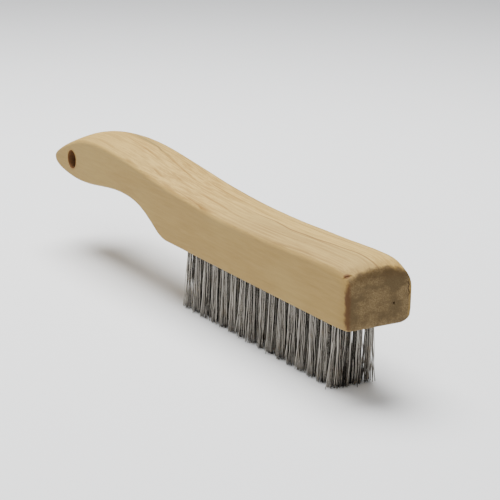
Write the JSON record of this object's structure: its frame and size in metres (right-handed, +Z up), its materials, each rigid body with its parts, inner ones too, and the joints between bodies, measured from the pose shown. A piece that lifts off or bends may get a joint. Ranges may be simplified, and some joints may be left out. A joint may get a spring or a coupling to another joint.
{
  "type": "wire scratch brush",
  "caption": "Straight-set steel wire scratch brush with a curved wooden shoe handle and a hang hole.",
  "frame": {"origin": "centre of the overall box, in the plane of the wire tips that the brush stands on", "axes": "+X along the handle towards the blunt toe of the head, +Y across the block, +Z up from the wire tips to the wood"},
  "size_m": [0.26, 0.03, 0.0619],
  "materials": {
    "wood": "bare sanded hardwood, unvarnished",
    "bristle_wire": "drawn carbon steel wire, dull bright",
    "staple_wire": "drawn round wire"
  },
  "bodies": {
    "root": {"handle_block": "wood", "tuft_row_01": "bristle_wire", "tuft_row_02": "bristle_wire", "tuft_row_03": "bristle_wire", "tuft_row_04": "bristle_wire", "tuft_row_05": "bristle_wire", "tuft_row_06": "bristle_wire", "tuft_row_07": "bristle_wire", "tuft_row_08": "bristle_wire", "tuft_row_09": "bristle_wire", "tuft_row_10": "bristle_wire", "tuft_row_11": "bristle_wire", "tuft_row_12": "bristle_wire", "tuft_row_13": "bristle_wire", "tuft_row_14": "bristle_wire", "tuft_row_15": "bristle_wire", "tuft_row_16": "bristle_wire", "staple_row_01": "staple_wire", "staple_row_02": "staple_wire", "staple_row_03": "staple_wire", "staple_row_04": "staple_wire", "staple_row_05": "staple_wire", "staple_row_06": "staple_wire", "staple_row_07": "staple_wire", "staple_row_08": "staple_wire", "staple_row_09": "staple_wire", "staple_row_10": "staple_wire", "staple_row_11": "staple_wire", "staple_row_12": "staple_wire", "staple_row_13": "staple_wire", "staple_row_14": "staple_wire", "staple_row_15": "staple_wire", "staple_row_16": "staple_wire"}
  },
  "joints": []
}
